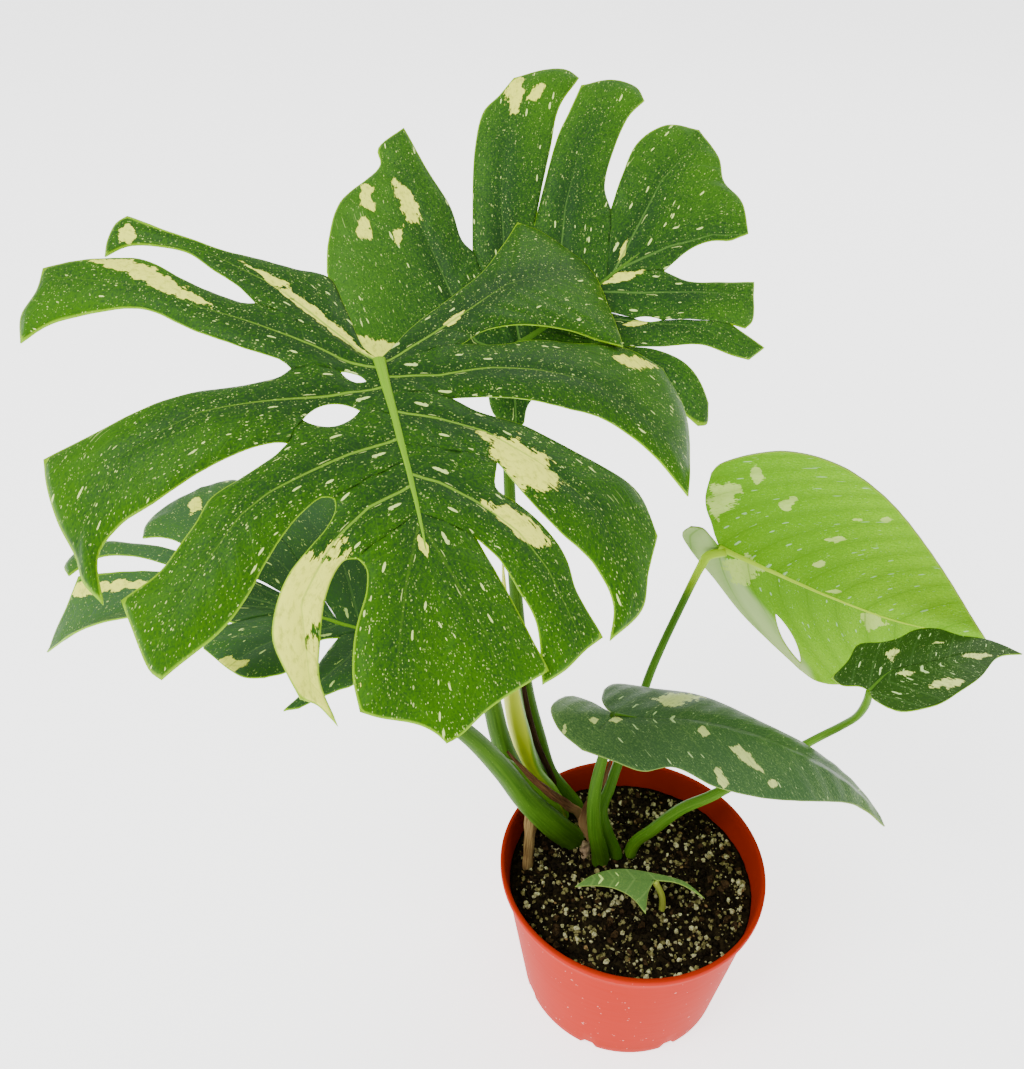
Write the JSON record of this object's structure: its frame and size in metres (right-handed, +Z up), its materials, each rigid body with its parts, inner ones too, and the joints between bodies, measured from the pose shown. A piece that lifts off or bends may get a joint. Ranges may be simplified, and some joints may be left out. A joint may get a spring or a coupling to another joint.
{
  "type": "split-leaf monstera in a pot",
  "caption": "Potted monstera house plant: broad split and heart-shaped variegated leaves on arching stalks, standing in a round tapered nursery pot of soil.",
  "frame": {"origin": "centre of the pot's underside, on the surface it stands on", "axes": "+Z up; +Y away from the side where the largest leaf hangs forward; +X towards the heart-shaped leaf that shows its pale underside"},
  "size_m": [0.5395, 0.3498, 0.5278],
  "materials": {
    "pot": "smooth, soft sheen",
    "soil": "crumbly, damp, with pale granules",
    "leaf": "satin leaf surface with cream specks and patches",
    "leaf_underside": "matt pale underside with cream patches",
    "stalk": "smooth, satin",
    "young_growth": "smooth, satin",
    "dry_sheath": "dry, papery, matt",
    "root": "dry, matt"
  },
  "bodies": {
    "root": {"pot": "pot", "potting_soil": "soil", "leaf_front": "leaf", "leaf_back": "leaf", "leaf_left": "leaf", "leaf_right": "leaf_underside", "leaf_far_right": "leaf", "leaf_low": "leaf", "leaf_first": "leaf", "stalk_front": "stalk", "stalk_back": "stalk", "stalk_left": "stalk", "stalk_right": "stalk", "stalk_far_right": "stalk", "stalk_low": "stalk", "stalk_first": "young_growth", "furled_leaf": "young_growth", "dry_sheath_left": "dry_sheath", "dry_sheath_middle": "dry_sheath", "crown_stub": "dry_sheath", "root_stub": "root"}
  },
  "joints": []
}
